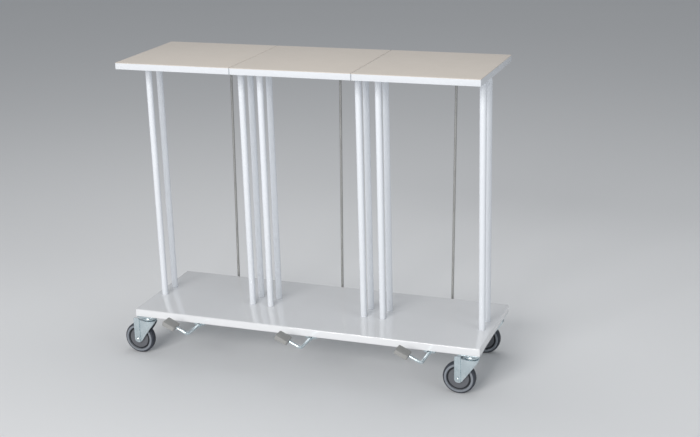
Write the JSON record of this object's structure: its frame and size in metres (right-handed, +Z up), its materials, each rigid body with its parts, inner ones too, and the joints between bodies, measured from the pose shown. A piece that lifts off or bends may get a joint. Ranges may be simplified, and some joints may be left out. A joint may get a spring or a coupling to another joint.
{
  "type": "linen trolley",
  "caption": "Low tray on swivel casters with slim tube hoops, bag rings and hinged lids opened by foot pedals through pull rods.",
  "frame": {"origin": "on the floor, under the middle of the whole trolley at rest", "axes": "+X along the tray from the first cell to the third, +Y from the pedals to the pull rods, +Z up"},
  "size_m": [1.18, 0.4844, 0.95],
  "materials": {
    "white_powder_coat": "gloss white powder coat",
    "lid_powder_coat": "satin warm grey top with white edges",
    "zinc_plate": "bright blue zinc plating",
    "rod_steel": "drawn grey steel",
    "pad_plastic": "matt light grey moulding",
    "tyre_rubber": "matt dark grey rubber",
    "hub_plastic": "satin mid grey plastic"
  },
  "bodies": {
    "frame": {"deck_tray": "white_powder_coat", "hoop_left_1": "white_powder_coat", "hoop_right_1": "white_powder_coat", "bag_ring_1": "white_powder_coat", "hinge_bracket_1": "white_powder_coat", "hinge_pin_1": "zinc_plate", "front_clamp_1": "zinc_plate", "rear_clamp_1": "zinc_plate", "hoop_left_2": "white_powder_coat", "hoop_right_2": "white_powder_coat", "bag_ring_2": "white_powder_coat", "hinge_bracket_2": "white_powder_coat", "hinge_pin_2": "zinc_plate", "front_clamp_2": "zinc_plate", "rear_clamp_2": "zinc_plate", "hoop_left_3": "white_powder_coat", "hoop_right_3": "white_powder_coat", "bag_ring_3": "white_powder_coat", "hinge_bracket_3": "white_powder_coat", "hinge_pin_3": "zinc_plate", "front_clamp_3": "zinc_plate", "rear_clamp_3": "zinc_plate", "caster_head_front_left": "zinc_plate", "caster_head_front_right": "zinc_plate", "caster_head_rear_left": "zinc_plate", "caster_head_rear_right": "zinc_plate"},
    "lid_1_body": {"lid_1": "lid_powder_coat", "lid_tail_1": "zinc_plate"},
    "rod_1_body": {"pull_rod_1": "rod_steel"},
    "pedal_1_body": {"pedal_shaft_1": "zinc_plate", "crank_lever_1": "zinc_plate", "pedal_pad_1": "pad_plastic"},
    "lid_2_body": {"lid_2": "lid_powder_coat", "lid_tail_2": "zinc_plate"},
    "rod_2_body": {"pull_rod_2": "rod_steel"},
    "pedal_2_body": {"pedal_shaft_2": "zinc_plate", "crank_lever_2": "zinc_plate", "pedal_pad_2": "pad_plastic"},
    "lid_3_body": {"lid_3": "lid_powder_coat", "lid_tail_3": "zinc_plate"},
    "rod_3_body": {"pull_rod_3": "rod_steel"},
    "pedal_3_body": {"pedal_shaft_3": "zinc_plate", "crank_lever_3": "zinc_plate", "pedal_pad_3": "pad_plastic"},
    "swivel_front_left_body": {"caster_fork_front_left": "zinc_plate", "caster_axle_front_left": "zinc_plate"},
    "wheel_front_left_body": {"wheel_hub_front_left": "hub_plastic", "tyre_front_left": "tyre_rubber"},
    "swivel_front_right_body": {"caster_fork_front_right": "zinc_plate", "caster_axle_front_right": "zinc_plate"},
    "wheel_front_right_body": {"wheel_hub_front_right": "hub_plastic", "tyre_front_right": "tyre_rubber"},
    "swivel_rear_left_body": {"caster_fork_rear_left": "zinc_plate", "caster_axle_rear_left": "zinc_plate"},
    "wheel_rear_left_body": {"wheel_hub_rear_left": "hub_plastic", "tyre_rear_left": "tyre_rubber"},
    "swivel_rear_right_body": {"caster_fork_rear_right": "zinc_plate", "caster_axle_rear_right": "zinc_plate"},
    "wheel_rear_right_body": {"wheel_hub_rear_right": "hub_plastic", "tyre_rear_right": "tyre_rubber"}
  },
  "joints": [
    {"name": "lid_1_hinge", "type": "hinge", "parent": "frame", "child": "lid_1_body", "pos_m": [-0.3205, 0.21525, 0.919], "axis": [-1, 0, 0], "range_deg": [0, 76]},
    {"name": "rod_1_slide", "type": "slide", "parent": "frame", "child": "rod_1_body", "axis": [0, 0, -1], "range_m": [0, 0.0173]},
    {"name": "pedal_1_pivot", "type": "hinge", "parent": "frame", "child": "pedal_1_body", "pos_m": [-0.3141, -0.22175, 0.128], "axis": [0, -1, 0], "range_deg": [0, 30]},
    {"name": "lid_2_hinge", "type": "hinge", "parent": "frame", "child": "lid_2_body", "pos_m": [0.0545, 0.21525, 0.919], "axis": [-1, 0, 0], "range_deg": [0, 76]},
    {"name": "rod_2_slide", "type": "slide", "parent": "frame", "child": "rod_2_body", "axis": [0, 0, -1], "range_m": [0, 0.0173]},
    {"name": "pedal_2_pivot", "type": "hinge", "parent": "frame", "child": "pedal_2_body", "pos_m": [0.0609, -0.22175, 0.128], "axis": [0, -1, 0], "range_deg": [0, 30]},
    {"name": "lid_3_hinge", "type": "hinge", "parent": "frame", "child": "lid_3_body", "pos_m": [0.4295, 0.21525, 0.919], "axis": [-1, 0, 0], "range_deg": [0, 76]},
    {"name": "rod_3_slide", "type": "slide", "parent": "frame", "child": "rod_3_body", "axis": [0, 0, -1], "range_m": [0, 0.0173]},
    {"name": "pedal_3_pivot", "type": "hinge", "parent": "frame", "child": "pedal_3_body", "pos_m": [0.4359, -0.22175, 0.128], "axis": [0, -1, 0], "range_deg": [0, 30]},
    {"name": "swivel_front_left", "type": "hinge", "parent": "frame", "child": "swivel_front_left_body", "pos_m": [-0.503, -0.11875, 0.1187], "axis": [0, 0, 1], "continuous": true},
    {"name": "wheel_front_left", "type": "hinge", "parent": "swivel_front_left_body", "child": "wheel_front_left_body", "pos_m": [-0.54, -0.11875, 0.05], "axis": [0, 1, 0], "continuous": true},
    {"name": "swivel_front_right", "type": "hinge", "parent": "frame", "child": "swivel_front_right_body", "pos_m": [0.558, -0.11875, 0.1187], "axis": [0, 0, 1], "continuous": true},
    {"name": "wheel_front_right", "type": "hinge", "parent": "swivel_front_right_body", "child": "wheel_front_right_body", "pos_m": [0.521, -0.11875, 0.05], "axis": [0, 1, 0], "continuous": true},
    {"name": "swivel_rear_left", "type": "hinge", "parent": "frame", "child": "swivel_rear_left_body", "pos_m": [-0.503, 0.18625, 0.1187], "axis": [0, 0, 1], "continuous": true},
    {"name": "wheel_rear_left", "type": "hinge", "parent": "swivel_rear_left_body", "child": "wheel_rear_left_body", "pos_m": [-0.54, 0.18625, 0.05], "axis": [0, 1, 0], "continuous": true},
    {"name": "swivel_rear_right", "type": "hinge", "parent": "frame", "child": "swivel_rear_right_body", "pos_m": [0.558, 0.18625, 0.1187], "axis": [0, 0, 1], "continuous": true},
    {"name": "wheel_rear_right", "type": "hinge", "parent": "swivel_rear_right_body", "child": "wheel_rear_right_body", "pos_m": [0.521, 0.18625, 0.05], "axis": [0, 1, 0], "continuous": true}
  ],
  "couplings": [
    {"joint": "rod_1_slide", "follows": "lid_1_hinge", "m_per_rad": 0.01299},
    {"joint": "pedal_1_pivot", "follows": "lid_1_hinge", "ratio": 0.3947},
    {"joint": "rod_2_slide", "follows": "lid_2_hinge", "m_per_rad": 0.01299},
    {"joint": "pedal_2_pivot", "follows": "lid_2_hinge", "ratio": 0.3947},
    {"joint": "rod_3_slide", "follows": "lid_3_hinge", "m_per_rad": 0.01299},
    {"joint": "pedal_3_pivot", "follows": "lid_3_hinge", "ratio": 0.3947}
  ]
}
